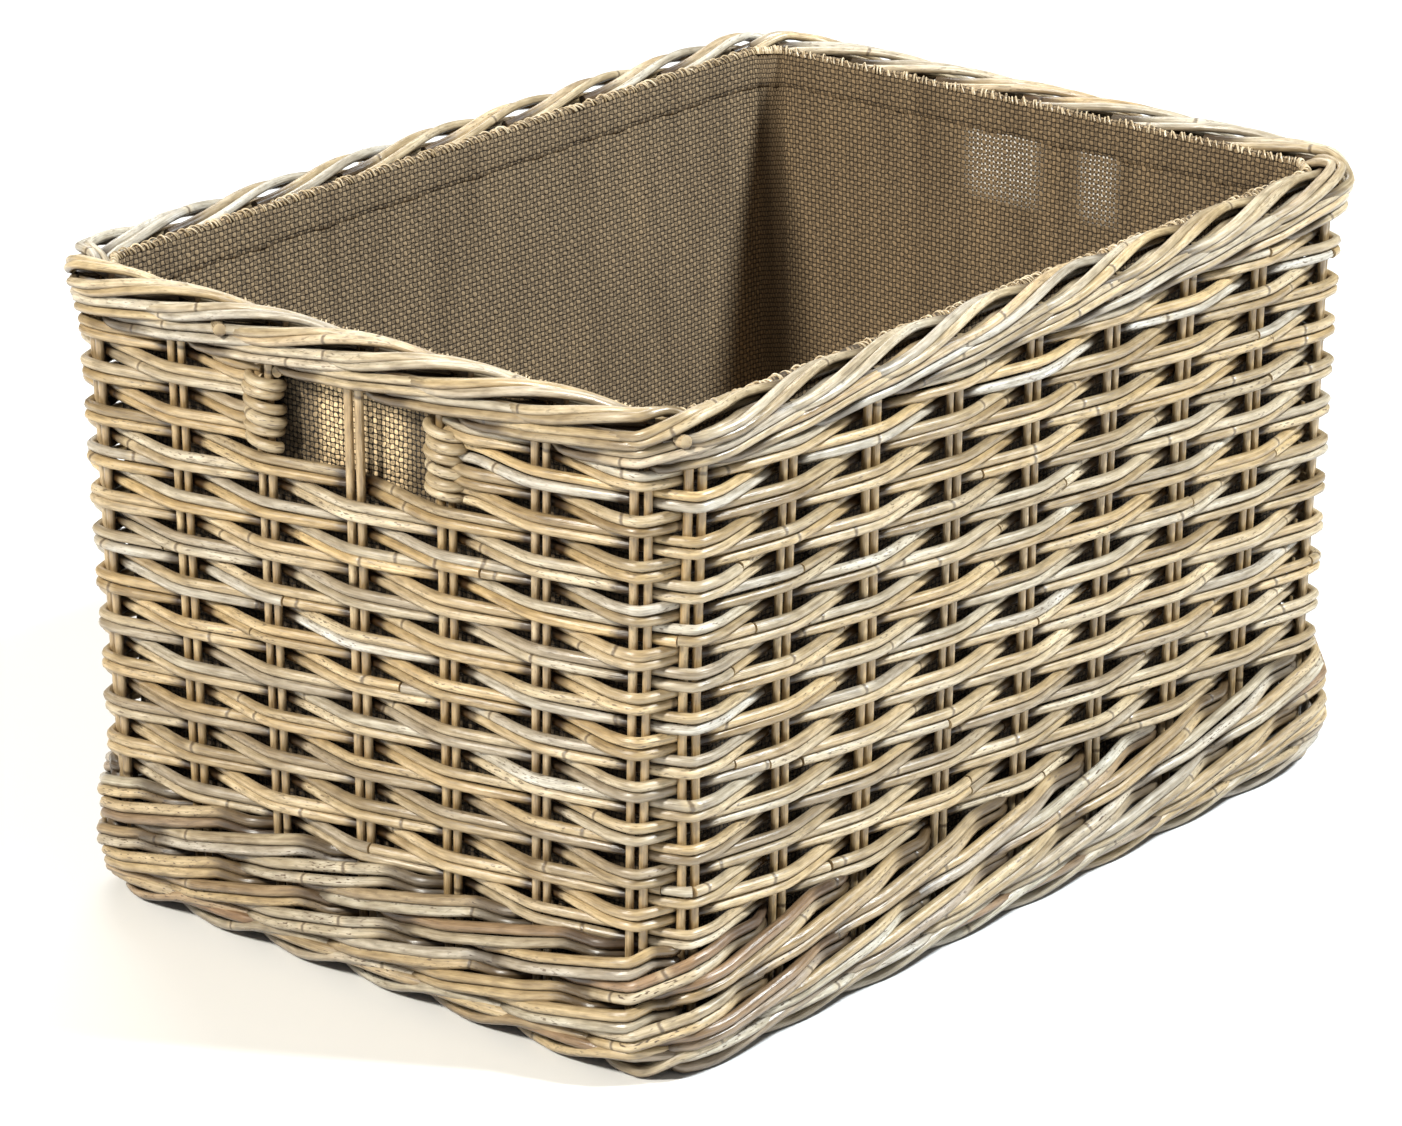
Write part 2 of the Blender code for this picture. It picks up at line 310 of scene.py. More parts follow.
def rods_object(name, rods, material, underside_shade=0.4):
    """One object holding many rods, with each rod's tone, painted shade and coordinates for its material.

    The underside shade says how much painted shade the undersides get: at 0 none, as on the top, and at 1 as
    much as in a recess.
    """
    points, faces, fibre, tone, recess, cut = [], [], [], [], [], []
    under_from, under_over = 0.2, 0.75
    # Painted shade on the lower side of each rod, added to the rod's own painted shade.
    under = underside_shade * smooth((-np.sin(SECTION) - under_from) / under_over)
    for index, rod in enumerate(rods):
        rings, place = rod_points(rod)
        place[..., 0] += index * ROD_STAGGER
        faces += rod_faces(len(rings), len(points) * SIDES)
        points += [*rings, rings[0], rings[-1]]
        fibre += [*place, place[0], place[-1]]
        tone += [rod.tone] * (len(rings) + 2)
        depth = np.broadcast_to(rod.recess, len(rings))[:, None]
        depth = depth + (1 - depth) * under
        recess += [*depth, depth[0], depth[-1]]
        cut += [0.0] * len(rings) + [1.0, 1.0]
    mesh = bpy.data.meshes.new(name)
    mesh.from_pydata(np.concatenate(points).tolist(), [], faces)
    set_attribute(mesh, "fibre", fibre, vector=True)
    set_attribute(mesh, "tone", np.repeat(tone, SIDES))
    set_attribute(mesh, "recess", recess)
    set_attribute(mesh, "cut", np.repeat(cut, SIDES))
    mesh.shade_smooth()
    return add_object(name, mesh, material)


def add_object(name, mesh, material):
    mesh.materials.append(material)
    made = bpy.data.objects.new(name, mesh)
    bpy.context.scene.collection.objects.link(made)
    return made


def place_piece(piece, slot, *nodes):
    """The piece moves with the basket and stands for CAD nodes, which it hides. The slot is not used."""
    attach(piece, "root")
    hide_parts(*nodes)


# The wall: stakes, weaving and the wraps beside the hand holes.

def stake_rod(number, rng):
    """A hairpin of one thin rod: down one side, round the fold, and up the other."""
    legs = np.linspace(STAKE_TOP, STAKE_BOTTOM + LEG_OFFSET, 2 * STEPS)
    fold = np.linspace(0, math.pi, STEPS)[1:-1]
    distance = np.concatenate([np.full(len(legs), -LEG_OFFSET), -LEG_OFFSET * np.cos(fold),
                               np.full(len(legs), LEG_OFFSET)])
    height = np.concatenate([legs, STAKE_BOTTOM + LEG_OFFSET * (1 - np.sin(fold)), legs[::-1]])
    sway, radians_per_metre = 0.35 * MM, (20, 35)
    bend = sway * np.sin(height * rng.uniform(*radians_per_metre) + rng.uniform(*ANY_START))
    path = on_wall(along_stakes(number, distance + bend), bend, height)
    outward = on_wall(number, 10 * MM, height[0]) - on_wall(number, 0.0, height[0])
    radii = girths(len(path), STAKE_FULLNESS * STAKE_RADIUS, rng)
    # A little painted shade all along the stake, which stands behind the rows.
    return Rod(path, radii, outward, tone=rng.uniform(0.3, 0.9), recess=0.15)


def course_nodes(course):
    name = f"weaver_{course + 1:02d}"
    return [name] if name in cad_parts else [f"{name}_front", f"{name}_back"]


def row_height(row):
    """The middle height of a row. Two rows make up a course, and both count down from the rim."""
    low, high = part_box(course_nodes(row // 2)[0])
    quarter = (high.z - low.z) / 4
    return low.z + quarter if row % 2 else high.z - quarter


def weave_out(number, row):
    """How far out a row runs. It is inside a stake where the stake and row numbers add up to even.

    A hug near 1 holds the rods against the stakes, and makes them cross over quickly between two.
    """
    hug = 0.93
    return -WEAVER_SWING * np.arcsin(hug * np.cos(math.pi * (number + row))) / math.asin(hug)


def joins(first, last, rng):
    """Where one rod of a row ends and the next begins. Rods are that short and that long in stakes."""
    shortest, longest = 9, 19
    found = [first]
    while found[-1] < last:
        found.append(found[-1] + rng.uniform(shortest, longest))
    return [*found[:-1], last]


def row_cuts(first, last, loose_ends, rng):
    """The ends of a row's rods. A row with no loose ends starts a little way on, and closes on itself."""
    start = first + rng.uniform(0, 8)
    if loose_ends:
        return joins(first, last, rng)
    return [*joins(start, last, rng)[:-1], start + STAKES]


def row_rods(row, first, last, loose_ends, rng):
    """The two rods of a row, one on top of the other, each made of several lengths."""
    half_gap, turn_in = 0.01, 0.4
    swell, sway, waves_round = 0.35 * MM, 0.3 * MM, 5
    dark_from, dark_over = 0.5, 0.22
    rods = []
    for rank in (1, -1):
        cuts = row_cuts(first, last, loose_ends, rng)
        drift = rng.uniform(0, 100)
        for start, end in zip(cuts, cuts[1:]):
            number = np.linspace(start + half_gap, end - half_gap, max(2, round((end - start) * STEPS)))
            ends = smooth(np.minimum(number - first, last - number) / turn_in) if loose_ends else 1.0
            phase = drift + 2 * math.pi * waves_round / STAKES * number
            height = row_height(row) + rank * WEAVER_RADIUS * PACKING + wander(phase, swell, rng)
            out = weave_out(number, row) * ends + sway * np.sin(2 * phase)
            # Painted shade where the rod passes inside the stakes.
            recess = smooth((-out / WEAVER_SWING - dark_from) / dark_over)
            radii = girths(len(number), WEAVER_RADIUS, rng)
            rods.append(Rod(on_wall(number, out, height), radii, UP, rng.random(), recess))
    return rods


def wrap_rod(number, rng):
    """A rod wound round a stake beside a hand hole, as high as the two courses that turn back there.

    Its turns shift sideways, rise unevenly and swell, each at its own slow rate.
    """
    shift, unevenness, swelling = 0.9 * MM, 0.7 * MM, 0.1
    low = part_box(course_nodes(1)[0])[0].z + WRAP_RADIUS
    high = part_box(course_nodes(0)[0])[1].z - WRAP_RADIUS
    turns = round((high - low) / (2.1 * WRAP_RADIUS))
    angle = np.linspace(0, 2 * math.pi * turns, turns * 2 * STEPS)
    reach = LEG_OFFSET + STAKE_RADIUS + WRAP_RADIUS
    distance = reach * np.cos(angle) + shift * np.sin(angle * 0.37 + number)
    out = (STAKE_RADIUS + WRAP_RADIUS + CLEARANCE) * np.sin(angle)
    height = np.linspace(low, high, len(angle)) + wander(angle / 3, unevenness, rng)
    path = on_wall(along_stakes(number, distance), out, height)
    radii = girths(len(path), WRAP_RADIUS, rng) * (1 + swelling * np.sin(angle * 0.43 + number))
    # Painted shade where the turn passes behind the stake.
    recess = 0.8 * smooth(0.4 - np.sin(angle))
    return Rod(path, radii, UP, rng.uniform(0.15, 0.4), recess)


# The rim and the foot: wales, whose rods climb as they go, and rolled borders.

def wale_rods(low, high, face, radius, rng):
    """A pair of rods starts behind every stake, climbs as it passes outside two, and dives behind the next.

    Each pair climbs in front of the ends of the pairs beside it, which lie one rod further in. It has
    painted shade, dark behind the stakes and dim in the back layer.
    """
    turn = np.linspace(-1, 2, 3 * STEPS + 1)
    outside = within(turn, -1, 2, 0.35)
    in_front = within(turn, -0.45, 1.5, 0.6)
    # Painted shade: full behind the stakes, lighter in the back layer, none in front.
    recess = 1 - outside * (0.22 + 0.78 * smooth(2.5 * in_front))
    # The climb starts a quarter of a space before the pair's own stake and takes one and a half spaces.
    climb = np.clip((turn + 0.25) / 1.5, -0.15, 1.05)
    middle = low + 1.6 * radius + (high - low - 2.8 * radius) * climb
    inside = -STAKE_RADIUS - radius
    rods = []
    for number in range(STAKES):
        for rank in (-1, 1):
            height = middle + rank * radius * rng.uniform(0.9, 1.02) + wander(turn, 0.4 * MM, rng)
            front = face(height) - radius - rng.uniform(0, 1.2) * MM
            back = np.maximum(front - 1.9 * radius, STAKE_RADIUS + 0.6 * radius)
            out = inside + (back - inside) * outside + (front - back) * in_front
            radii = girths(len(turn), radius, rng)
            rods.append(Rod(on_wall(number + turn, out, height), radii, UP, rng.random(), recess))
    return rods


def lifted(turn):
    """How far a rod is off the floor along its run: at its own stake it is down, and on both sides up."""
    before = smooth((-0.1 - turn) / 0.5)
    after = smooth((turn - 0.1) / 0.9) * (1 - 0.4 * smooth(turn - 1))
    return after + before


def border_rods(core, reach, sweep, tail, scallop, radius, rng):
    """A pair of rods at every stake rolls round a core, from one angle of its section to another.

    The core is (distance out, height), the reach is how far the rods lie from it each way, and the sweep
    is the two angles in degrees. Each pair starts under the pairs before it and ends under the pairs
    after it, and its second rod runs on by the tail. The scallop is how far a pair lifts away from its
    stake.
    """
    first, last = BORDER_SPAN
    deepest, sway = 0.64, 0.35 * MM
    rods = []
    for number in range(STAKES):
        for rank in (-1, 1):
            run_on = tail * (rank > 0)
            turn = np.linspace(first, last + run_on, round((last + run_on - first) * STEPS))
            share = np.clip((turn - first) / (last - first), 0, 1)
            eased = 0.4 * share + 0.6 * smooth(share)
            beside = rank * rng.uniform(0.9, 1.05) * radius / reach[0]
            angle = np.radians(sweep[0] + (sweep[1] - sweep[0]) * eased) + beside
            ends_under = 1.0 if run_on else smooth((1 - share) * 3.5)
            risen = smooth(share * 3) * ends_under
            depth = deepest + (1 - deepest) * risen
            out = core[0] + reach[0] * depth * np.cos(angle) + wander(turn, sway, rng)
            height = core[1] + reach[1] * depth * np.sin(angle) + scallop * lifted(turn)
            radii = girths(len(turn), radius, rng)
            # Painted shade where the pair lies sunk under the other pairs.
            recess = 0.95 * (1 - smooth(1.5 * risen - 0.2))
            rods.append(Rod(on_wall(number + turn, out, height), radii, UP, rng.random(), recess))
    return rods


def cut_end_rods(face, radius, rng):
    """Short rods that run out from the stakes, a little upwards, so that their cut ends show in the rim."""
    rise = 2 * MM
    rods = []
    for number, height, reach, run in CUT_ENDS:
        share = np.linspace(0, 1, STEPS)
        out = (face + reach + STAKE_RADIUS) * share - STAKE_RADIUS
        path = on_wall(number + run * share, out, height + rise * share)
        rods.append(Rod(path, np.full(STEPS, radius), UP, rng.random(), 0.0))
    return rods


def plain_rods(out, heights, radius, rng):
    """Rods that run straight round the basket, one above the other, and rise and fall three times."""
    sag, waves_round = 0.3 * MM, 3
    number = np.linspace(0, STAKES, STAKES * STEPS)
    rods = []
    for height in heights:
        path = on_wall(number, out, height + sag * np.sin(number * 2 * waves_round * math.pi / STAKES))
        # Each rod takes half painted shade all along, for lying set back.
        rods.append(Rod(path, girths(len(path), radius, rng), UP, rng.uniform(0.2, 0.6), 0.5))
    return rods


def outermost(node):
    """How far out of the stake line a ring reaches."""
    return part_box(node)[1].x - HALF_LENGTH


def foot_face(height):
    """How far out the foot reaches at a height. It is widest above its lower edge."""
    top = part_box("foot_wale_upper")[1].z
    heights = [middle_of("foot_border", 2), middle_of("foot_wale_lower", 2),
               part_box("foot_wale_upper")[0].z, middle_of("foot_wale_upper", 2), top]
    drawn_in = 0.9 * outermost("foot_wale_upper")
    faces = [outermost("foot_border"), outermost("foot_wale_lower"), outermost("foot_wale_upper"),
             drawn_in, outermost(course_nodes(COURSES - 1)[0]) + FOOT_RADIUS]
    return np.interp(height, heights, faces)


# The base.

def mat_rods(rng):
    """Thin sticks across the base, and rods woven over and under them."""
    low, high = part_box("base_mat")
    middle = middle_of("base_mat", 2)
    sticks = np.linspace(low.x, high.x, BASE_STICKS + 2)[1:-1]
    spacing = sticks[1] - sticks[0]
    rods = []
    for x in sticks:
        y = np.linspace(low.y, high.y, 2 * STEPS)
        path = np.stack([np.full(len(y), x), y, np.full(len(y), middle)], axis=-1)
        # The sticks lie under the woven rods and take a little painted shade.
        rods.append(Rod(path, girths(len(path), MAT_RADIUS * 0.9, rng), UP, rng.uniform(0.4, 0.8), 0.2))
    corner = CORNER_RADIUS / 2
    for index, y in enumerate(np.arange(low.y + MAT_RADIUS, high.y - MAT_RADIUS, MAT_SPACING * MAT_RADIUS)):
        into_corner = max(0.0, abs(y) - (high.y - corner))
        reach = high.x - corner + math.sqrt(corner ** 2 - min(into_corner, corner) ** 2)
        x = np.linspace(-reach, reach, 8 * STEPS)
        height = middle + MAT_RADIUS * np.cos(math.pi * ((x - sticks[0]) / spacing + index))
        path = np.stack([x, np.full(len(x), y), height], axis=-1)
        rods.append(Rod(path, girths(len(path), MAT_RADIUS, rng), UP, rng.random(), 0.0))
    return rods


# The liner.

def cloth_object(name, points, weave, places, thickness, outer, inner):
    """A closed strip of cloth from a grid of points, with thread coordinates and places of painted light and
    of parted threads.
    """
    rows, columns = points.shape[:2]
    index = np.arange(rows * columns).reshape(rows, columns)
    right = np.roll(index, -1, axis=1)
    faces = np.stack([index[:-1], right[:-1], right[1:], index[1:]], axis=-1).reshape(-1, 4)
    mesh = bpy.data.meshes.new(name)
    mesh.from_pydata(points.reshape(-1, 3).tolist(), [], faces.tolist())
    set_attribute(mesh, "weave", weave, vector=True)
    for label, values in zip(("hole_light", "parted"), places):
        set_attribute(mesh, label, np.broadcast_to(values, points.shape[:2]))
    mesh.shade_smooth()
    made = add_object(name, mesh, outer)
    mesh.materials.append(inner)
    solid = made.modifiers.new("Cloth thickness", "SOLIDIFY")
    solid.material_offset = 1
    solid.thickness = thickness
    solid.offset = 0.0
    return made


def hole_places(number, height):
    """Where the cloth behind the hand holes takes painted light, and where its threads have parted in two
    bands, which keep the painted shade.

    Each hole has the stakes beside it, where its second band starts, and how low both places reach.
    """
    edge = 0.08
    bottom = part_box(course_nodes(1)[0])[0].z
    near_hole = (BACK_RUN[1], FRONT_RUN[0], 0.66, bottom - 14 * MM)
    far_hole = (FRONT_RUN[1] - STAKES, BACK_RUN[0], 0.44, bottom + 6 * MM)
    hole_light, parted = 0.0, 0.0
    for first, last, second_band, lowest in (near_hole, far_hole):
        share = (number - first) / (last - first)
        inside = within(share, 0, 1, edge) * smooth((height - lowest) / (10 * MM))
        bands = smooth((0.26 - share) / edge) + within(share, second_band, 0.9, edge)
        # Painted light in the hole, which gives way to the painted shade in the bands.
        hole_light = hole_light + inside * (1 - 0.85 * bands)
        parted = parted + inside * bands
    return hole_light, parted


def liner_wall(outer, inner):
    """The upright strip: slack between the stakes and drawn up into small puckers under the hem."""
    behind_hem, slackness, pucker_size = 10 * MM, 1.3 * MM, 0.3 * MM
    low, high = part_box("liner_wall")
    number = np.linspace(0, STAKES, STAKES * STEPS, endpoint=False)[None, :]
    height = np.linspace(low.z, high.z + behind_hem, 3 * STEPS)[:, None]
    share = np.minimum((height - low.z) / (high.z - low.z), 1)
    slack = slackness * np.sin(math.pi * share) * (1 + np.sin(2 * math.pi * number * 5 / STAKES + 3 * share))
    puckers = pucker_size * share ** 6 * (1 + np.sin(2 * math.pi * number * 3))
    points = on_wall(number, outermost("liner_wall") - CLOTH_THICKNESS - slack - puckers, height)
    run = np.broadcast_to(number * PERIMETER / STAKES, points.shape[:2])
    rise = np.broadcast_to(height, points.shape[:2])
    weave = np.stack([run, rise, 0 * rise], axis=-1)
    places = hole_places(number, height)
    return cloth_object("liner_wall_cloth", points, weave, places, CLOTH_THICKNESS, outer, inner)


def liner_floor(material):
    """The floor piece, lying a little unevenly on the woven base. Its middle ring is too small to see."""
    wave_size, middle_ring = 0.9 * MM, 0.002
    low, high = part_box("liner_floor")
    number = np.linspace(0, STAKES, STAKES * STEPS, endpoint=False)[None, :]
    share = np.linspace(1, middle_ring, 3 * STEPS)[:, None]
    edge = on_wall(number, outermost("liner_floor") - CLOTH_THICKNESS, low.z)
    x, y = edge[..., 0] * share, edge[..., 1] * share
    waves = np.sin(x * 31 + 1) * np.sin(y * 43) + 0.6 * np.sin(x * 67 + y * 51)
    height = high.z + wave_size * (waves + 1) * (1 - share ** 8)
    points = np.stack([x, y, height], axis=-1)
    weave = np.stack([x, y, 0 * x], axis=-1)
    return cloth_object("liner_floor_cloth", points, weave, (0.0, 0.0), CLOTH_THICKNESS, material, material)


def boxed(wave):
    """A sine or cosine swollen so that it draws a rounded box instead of a circle."""
    return np.sign(wave) * np.abs(wave) ** 0.5


def liner_hem(material):
    """The folded hem: a flat roll of cloth along the inner edge of the rim."""
    thick, fold_thickness = 3.2 * MM, 0.4 * MM
    low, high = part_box("liner_hem")
    out = outermost("liner_hem")
    number = np.linspace(0, STAKES, STAKES * STEPS, endpoint=False)[None, :]
    angle = np.linspace(0, 2 * math.pi, SIDES + 1)[:, None]
    wave = 0.5 * MM * np.sin(number * 7.1) + 0.4 * MM * np.sin(number * 17.3)
    rise = (high.z - low.z) / 2
    height = low.z + rise + (rise + wave) * boxed(np.cos(angle))
    across = out - thick / 2 + (thick / 2 + 0.3 * wave) * boxed(np.sin(angle))
    points = on_wall(number, across, height)
    run = np.broadcast_to(number * PERIMETER / STAKES, points.shape[:2])
    weave = np.stack([run, height + across, 0 * run], axis=-1)
    return cloth_object("liner_hem_fold", points, weave, (0.0, 0.0), fold_thickness, material, material)


def stitch_rods(rng):
    """Whip stitches of pale thread, close together, over the top of the hem."""
    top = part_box("liner_hem")[1].z
    middle = outermost("liner_hem") - 1.7 * MM
    half_width, sunk = 2.0 * MM, 2.4 * MM
    rods = []
    count = round(PERIMETER / STITCH_SPACING)
    for index in range(count):
        number = STAKES * (index + rng.uniform(-0.6, 0.6)) / count
        angle = np.radians(np.linspace(0, 180, STEPS))
        across = middle - half_width * np.cos(angle)
        height = top - sunk + rng.uniform(2.0, 3.8) * MM * np.sin(angle)
        path = on_wall(number + np.linspace(0, rng.uniform(0.02, 0.13), STEPS), across, height)
        radii = np.full(len(path), THREAD_RADIUS * rng.uniform(0.6, 1.4))
        rods.append(Rod(path, radii, UP, rng.random(), 0.0))
    return rods


# Materials.

def node(tree, kind, inputs=None, **settings):
    """A new shader node. Each input is a constant or the socket that feeds it."""
    made = tree.nodes.new(kind)
    for name, value in settings.items():
        setattr(made, name, value)
    for name, value in (inputs or {}).items():
        if isinstance(value, bpy.types.NodeSocket):
            tree.links.new(value, made.inputs[name])
        else:
            made.inputs[name].default_value = value
    return made


def attribute(tree, name, output):
    return node(tree, "ShaderNodeAttribute", attribute_name=name).outputs[output]


def noise(tree, place, scale, detail=3.0):
    """Noise from 0 to 1 over coordinates stretched by three scales."""
    stretched = node(tree, "ShaderNodeMapping", {"Vector": place, "Scale": scale}).outputs["Vector"]
    settings = {"Vector": stretched, "Scale": 1.0, "Detail": detail}
    return node(tree, "ShaderNodeTexNoise", settings).outputs["Fac"]


def math_node(tree, operation, first, second=0.0):
    return node(tree, "ShaderNodeMath", {0: first, 1: second}, operation=operation).outputs[0]


def ranged(tree, value, low, high, to_low, to_high):
    """The value moved from one range to another, and kept inside it."""
    return node(tree, "ShaderNodeMapRange", {"Value": value, "From Min": low, "From Max": high,
                                             "To Min": to_low, "To Max": to_high}).outputs["Result"]


def mixed(tree, factor, first, second, blend="MIX"):
    """Two colours blended."""
    made = node(tree, "ShaderNodeMix", {0: factor, 6: first, 7: second}, data_type="RGBA", blend_type=blend)
    return made.outputs[2]


def ramp(tree, value, colours):
    """Colours spread evenly over 0 to 1."""
    made = node(tree, "ShaderNodeValToRGB", {"Fac": value})
    stops = made.color_ramp.elements
    for index, colour in enumerate(colours):
        place = index / (len(colours) - 1)
        stop = stops[index] if index < 2 else stops.new(place)
        stop.position = place
        stop.color = (*colour, 1.0)
    return made.outputs["Color"]


def new_material(name):
    material = bpy.data.materials.new(name)
    material.use_nodes = True
    tree = material.node_tree
    return material, tree, tree.nodes["Principled BSDF"]


def tinted(tree, strength, colour, value, colours):
    """A colour multiplied by another, which a value picks from a row of colours."""
    return mixed(tree, strength, colour, ramp(tree, value, colours), "MULTIPLY")


def willow(name, colours, speckle):
    """Weathered willow: a tone for each rod, patches and fine streaks along it, rings at its nodes.

    It takes painted shade in its recesses and on its undersides, where less light falls. A noise's scales
    are per metre, along the rod and across it both ways, and each noise picks what tints the willow from
    dark, middling and light.
    """
    material, tree, shader = new_material(name)
    fibre = attribute(tree, "fibre", "Vector")
    patches = noise(tree, fibre, (14, 90, 90))
    streaks = noise(tree, fibre, (25, 1700, 1700))
    mottle = noise(tree, fibre, (110, 520, 520))
    specks = noise(tree, fibre, (300, 1100, 1100), detail=1.0)
    colour = ramp(tree, attribute(tree, "tone", "Fac"), colours)
    colour = tinted(tree, 1.0, colour, patches, [(0.2, 0.13, 0.07), (0.84, 0.81, 0.76), (1.5, 1.66, 1.95)])
    colour = tinted(tree, 0.85, colour, streaks, [(0.3, 0.24, 0.16), (0.98, 0.97, 0.95), (1.5, 1.54, 1.62)])
    colour = tinted(tree, 0.9, colour, mottle, [(0.1, 0.07, 0.03), (1.0, 0.98, 0.94), (1.65, 1.76, 1.92)])
    dotted = math_node(tree, "MULTIPLY", ranged(tree, specks, 0.6, 0.68, 0.0, 1.0),
                       ranged(tree, patches, 0.46, 0.6, 0.0, speckle))
    colour = mixed(tree, dotted, colour, SPECK)
    along = node(tree, "ShaderNodeSeparateXYZ", {"Vector": fibre}).outputs["X"]
    nodes_passed = math_node(tree, "ADD", math_node(tree, "MULTIPLY", along, NODES_PER_METRE),
                             math_node(tree, "MULTIPLY", patches, 0.03))
    from_middle = math_node(tree, "SUBTRACT", math_node(tree, "FRACT", nodes_passed), 0.5)
    from_ring = math_node(tree, "ABSOLUTE", from_middle)
    ring = ranged(tree, from_ring, 0.002, 0.006, 0.75, 0.0)
    collar = ranged(tree, from_ring, 0.006, 0.02, 0.4, 0.0)
    colour = mixed(tree, collar, colour, NODE_COLLAR)
    colour = mixed(tree, ring, colour, NODE_RING)
    colour = mixed(tree, attribute(tree, "cut", "Fac"), colour, CUT_WOOD)
    # Painted shade, as strong as the mesh's painted shade attribute says, in recesses and on undersides.
    darkened = mixed(tree, 1.0, colour, PAINTED_SHADE_TINT, "MULTIPLY")
    colour = mixed(tree, attribute(tree, "recess", "Fac"), colour, darkened)
    high = math_node(tree, "SUBTRACT", math_node(tree, "ADD", streaks, mottle), ring)
    bump = node(tree, "ShaderNodeBump", {"Height": high, "Strength": 0.6, "Distance": 0.4 * MM})
    tree.links.new(colour, shader.inputs["Base Color"])
    tree.links.new(ranged(tree, patches, 0.3, 0.7, 0.24, 0.46), shader.inputs["Roughness"])
    tree.links.new(bump.outputs["Normal"], shader.inputs["Normal"])
    shader.inputs["Specular IOR Level"].default_value = 0.75
    return material


def hessian(name, thread, gap, lit_thread, parted_gap):
    """Coarse plain weave: warp and weft threads take turns on top, with gaps between them.

    It has other colours where the hand holes let light in: painted light on its threads, and a painted
    colour in the holes where they part, light on the inside face and shade on the outside.
    """
    material, tree, shader = new_material(name)
    weave = attribute(tree, "weave", "Vector")
    uneven = noise(tree, weave, (300, 300, 300), detail=1.0)
    per_thread = (1 / THREAD_SPACING,) * 3
    counted = node(tree, "ShaderNodeVectorMath", {0: weave, 1: per_thread}, operation="MULTIPLY")
    split = node(tree, "ShaderNodeSeparateXYZ", {"Vector": counted.outputs["Vector"]})
    waves = []
    for axis in ("X", "Y"):
        place = math_node(tree, "ADD", split.outputs[axis], math_node(tree, "MULTIPLY", uneven, 0.7))
        waves.append(math_node(tree, "SINE", math_node(tree, "MULTIPLY", place, math.pi)))
    sizes = [math_node(tree, "ABSOLUTE", wave) for wave in waves]
    crossing = math_node(tree, "MULTIPLY", *sizes)
    on_top = math_node(tree, "MULTIPLY", math_node(tree, "MULTIPLY", *waves), 0.5)
    high = math_node(tree, "ADD", ranged(tree, crossing, 0.0, 0.45, 0.0, 1.0), on_top)
    # Painted light on the threads behind the hand holes.
    threads = mixed(tree, attribute(tree, "hole_light", "Fac"), thread, lit_thread)
    colour = mixed(tree, ranged(tree, high, 0.2, 1.0, 0.0, 1.0), gap, threads)
    tone = noise(tree, weave, (60, 9, 9))
    colour = tinted(tree, 0.8, colour, tone, [(0.5, 0.45, 0.38), (1.0, 1.0, 1.0), (1.5, 1.45, 1.35)])
    between = ranged(tree, math_node(tree, "MAXIMUM", *sizes), 0.5, 0.65, 1.0, 0.0)
    hole = math_node(tree, "MULTIPLY", between, attribute(tree, "parted", "Fac"))
    # In the parted bands the gaps take a painted colour for the light or shade that shows through them.
    colour = mixed(tree, hole, colour, parted_gap)
    bump = node(tree, "ShaderNodeBump", {"Height": high, "Strength": 0.8, "Distance": 0.7 * MM})
    tree.links.new(colour, shader.inputs["Base Color"])
    shader.inputs["Roughness"].default_value = 0.92
    tree.links.new(bump.outputs["Normal"], shader.inputs["Normal"])
    return material


def matt(name, colour, roughness):
    material, _, shader = new_material(name)
    shader.inputs["Base Color"].default_value = (*colour, 1.0)
    shader.inputs["Roughness"].default_value = roughness
    return material


# The pieces of the basket.

def build_wall(rng):
    straw = willow("stake_willow", STAKE_TONES, speckle=0.4)
    grey = willow("weaver_willow", WEAVER_TONES, speckle=0.8)
    for number in range(STAKES):
        piece = rods_object(f"stake_rod_{number + 1:02d}", [stake_rod(number, rng)], straw)
        place_piece(piece, "stake", f"stake_{number + 1:02d}")
    for course in range(COURSES):
        nodes = course_nodes(course)
        runs = [(0, STAKES)] if len(nodes) == 1 else [FRONT_RUN, BACK_RUN]
        for name, (first, last) in zip(nodes, runs):
            rows = (2 * course, 2 * course + 1)
            rods = [rod for row in rows for rod in row_rods(row, first, last, len(nodes) > 1, rng)]
            place_piece(rods_object(f"{name}_rods", rods, grey), "weaver", name)
    for number in (*FRONT_RUN, *BACK_RUN):
        side = "front" if number in FRONT_RUN else "back"
        piece = rods_object(f"hand_hole_wrap_{number % STAKES + 1:02d}", [wrap_rod(number, rng)], grey)
        place_piece(piece, "weaver", f"weaver_01_{side}", f"weaver_02_{side}")


def build_rim(rng):
    pale = willow("rim_willow", RIM_TONES, speckle=0.6)
    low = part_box("rim_wale_outer")[0]
    border_low, border_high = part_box("rim_border")
    face = outermost("rim_wale_outer")
    wale_top = border_low.z + 0.35 * (border_high.z - border_low.z)
    wale = wale_rods(low.z, wale_top, lambda height: face, RIM_RADIUS, rng)
    place_piece(rods_object("rim_wale_rods", wale, pale, underside_shade=1.0), "rim", "rim_wale_outer")
    inner_heights = (low.z + RIM_RADIUS, low.z + 3.1 * RIM_RADIUS)
    inner = plain_rods(-STAKE_RADIUS - RIM_RADIUS, inner_heights, RIM_RADIUS, rng)
    place_piece(rods_object("rim_wale_inner_rods", inner, pale), "rim", "rim_wale_inner")
    core = (1.0 * MM, border_high.z - 11.0 * MM)
    reach = (outermost("rim_border") - core[0] - RIM_RADIUS, border_high.z - core[1] - RIM_RADIUS)
    border = border_rods(core, reach, sweep=(-50, 160), tail=0.6, scallop=0.0, radius=RIM_RADIUS, rng=rng)
    border += cut_end_rods(face, 1.3 * RIM_RADIUS, rng)
    place_piece(rods_object("rim_border_rods", border, pale, underside_shade=1.0), "rim", "rim_border")


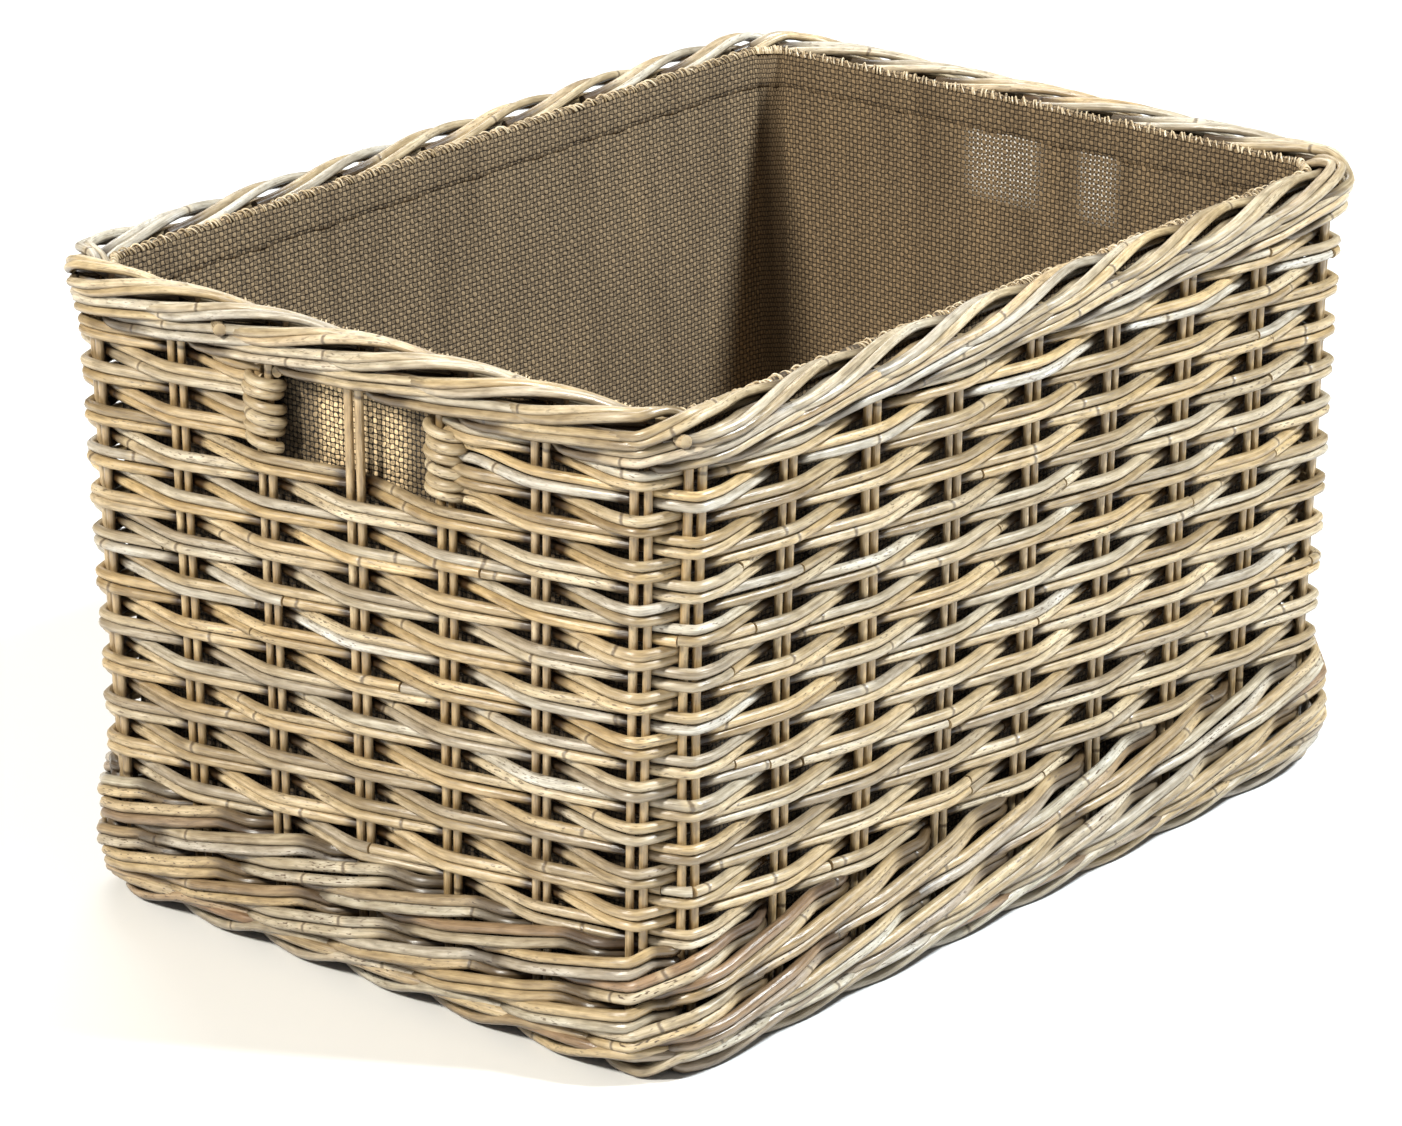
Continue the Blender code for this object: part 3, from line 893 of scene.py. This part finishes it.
def build_foot(rng):
    brown = willow("foot_willow", FOOT_TONES, speckle=1.0)
    for wale in ("foot_wale_upper", "foot_wale_lower"):
        low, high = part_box(wale)
        rods = wale_rods(low.z, high.z, foot_face, FOOT_RADIUS, rng)
        place_piece(rods_object(f"{wale}_rods", rods, brown, underside_shade=0.9), "foot", wale)
    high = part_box("foot_border")[1].z
    core = (0.0, high / 2)
    reach = (outermost("foot_border") - FOOT_RADIUS, high / 2 - FOOT_RADIUS)
    border = border_rods(core, reach, sweep=(-130, 60), tail=0.0, scallop=8 * MM, radius=FOOT_RADIUS,
                         rng=rng)
    place_piece(rods_object("foot_border_rods", border, brown, underside_shade=0.9), "foot", "foot_border")


def build_base(rng):
    plain = willow("base_willow", BASE_TONES, speckle=0.6)
    radius = size_of("base_hoop", 2) / 2
    hoop = plain_rods(outermost("base_hoop") - radius, [middle_of("base_hoop", 2)], radius, rng)
    place_piece(rods_object("base_hoop_rod", hoop, plain), "base", "base_hoop")
    place_piece(rods_object("base_mat_rods", mat_rods(rng), plain), "base", "base_mat")


def build_liner(rng):
    # The outer face takes painted shade, with painted light behind the hand holes and painted shade in its
    # parted gaps; the inner face's parted gaps are painted daylight.
    dark = hessian("liner_outer_hessian", SHADED_THREAD, SHADED_GAP, LIT_THREAD, BLACK_GAP)
    cloth = hessian("liner_hessian", TAN_THREAD, DIM_GAP, TAN_THREAD, DAYLIGHT)
    fold = hessian("hem_hessian", TAN_THREAD, DIM_GAP, TAN_THREAD, DIM_GAP)
    thread = willow("stitch_thread", STITCH_TONES, speckle=0.0)
    wall, floor, hem = liner_wall(dark, cloth), liner_floor(cloth), liner_hem(fold)
    stitches = rods_object("hem_stitches", stitch_rods(rng), thread)
    place_piece(wall, "liner", "liner_wall")
    place_piece(floor, "liner", "liner_floor")
    place_piece(hem, "liner", "liner_hem")
    place_piece(stitches, "liner", "liner_hem")


# The studio.

def build_studio():
    half = 6.0
    corners = [(-half, -half, 0), (half, -half, 0), (half, half, 0), (-half, half, 0)]
    mesh = bpy.data.meshes.new("studio_floor")
    mesh.from_pydata(corners, [], [(0, 1, 2, 3)])
    floor = add_object("studio_floor", mesh, matt("pale_floor", (0.93, 0.93, 0.92), roughness=0.8))
    world = bpy.data.worlds.new("studio_light")
    world.use_nodes = True
    background = world.node_tree.nodes["Background"]
    background.inputs["Color"].default_value = (1.0, 0.99, 0.97, 1.0)
    background.inputs["Strength"].default_value = 0.22
    bpy.context.scene.world = world
    bpy.context.scene.view_settings.view_transform = "Standard"
    add_light("key", (0.9, -2.0, 2.7), size=0.4, power=172, colour=(0.91, 0.97, 1.0))
    add_light("side", (-2.6, 0.5, 2.2), size=0.4, power=118, colour=(1.0, 0.96, 0.87))
    add_light("back", (1.4, 1.9, 2.2), size=1.4, power=35, colour=(1.0, 1.0, 1.0))


def add_light(name, place, size, power, colour):
    """A square soft light, aimed at the middle of the basket. The power is in watts."""
    data = bpy.data.lights.new(name, "AREA")
    data.size = size
    data.energy = power
    data.color = colour
    light = bpy.data.objects.new(name, data)
    light.location = place
    aim = Vector((0, 0, cad_box[1].z / 2)) - Vector(place)
    light.rotation_euler = aim.to_track_quat("-Z", "Y").to_euler()
    bpy.context.scene.collection.objects.link(light)


def build_camera():
    level = Vector((math.cos(CAMERA_HEADING), math.sin(CAMERA_HEADING), 0))
    ahead = level * math.cos(CAMERA_DOWN) - Vector(UP) * math.sin(CAMERA_DOWN)
    right = ahead.cross(Vector(UP)).normalized()
    above = right.cross(ahead)
    rolled_right = right * math.cos(CAMERA_ROLL) + above * math.sin(CAMERA_ROLL)
    rolled_above = above * math.cos(CAMERA_ROLL) - right * math.sin(CAMERA_ROLL)
    data = bpy.data.cameras.new("camera")
    data.lens = CAMERA_LENS
    data.sensor_width = 36.0
    camera = bpy.data.objects.new("camera", data)
    turn = Matrix((rolled_right, rolled_above, -ahead)).transposed()
    camera.matrix_world = Matrix.Translation(CAMERA_PLACE) @ turn.to_4x4()
    bpy.context.scene.collection.objects.link(camera)
    bpy.context.scene.camera = camera


def main():
    rng = np.random.default_rng(seed=7)
    build_wall(rng)
    build_rim(rng)
    build_foot(rng)
    build_base(rng)
    build_liner(rng)
    build_studio()
    build_camera()


main()
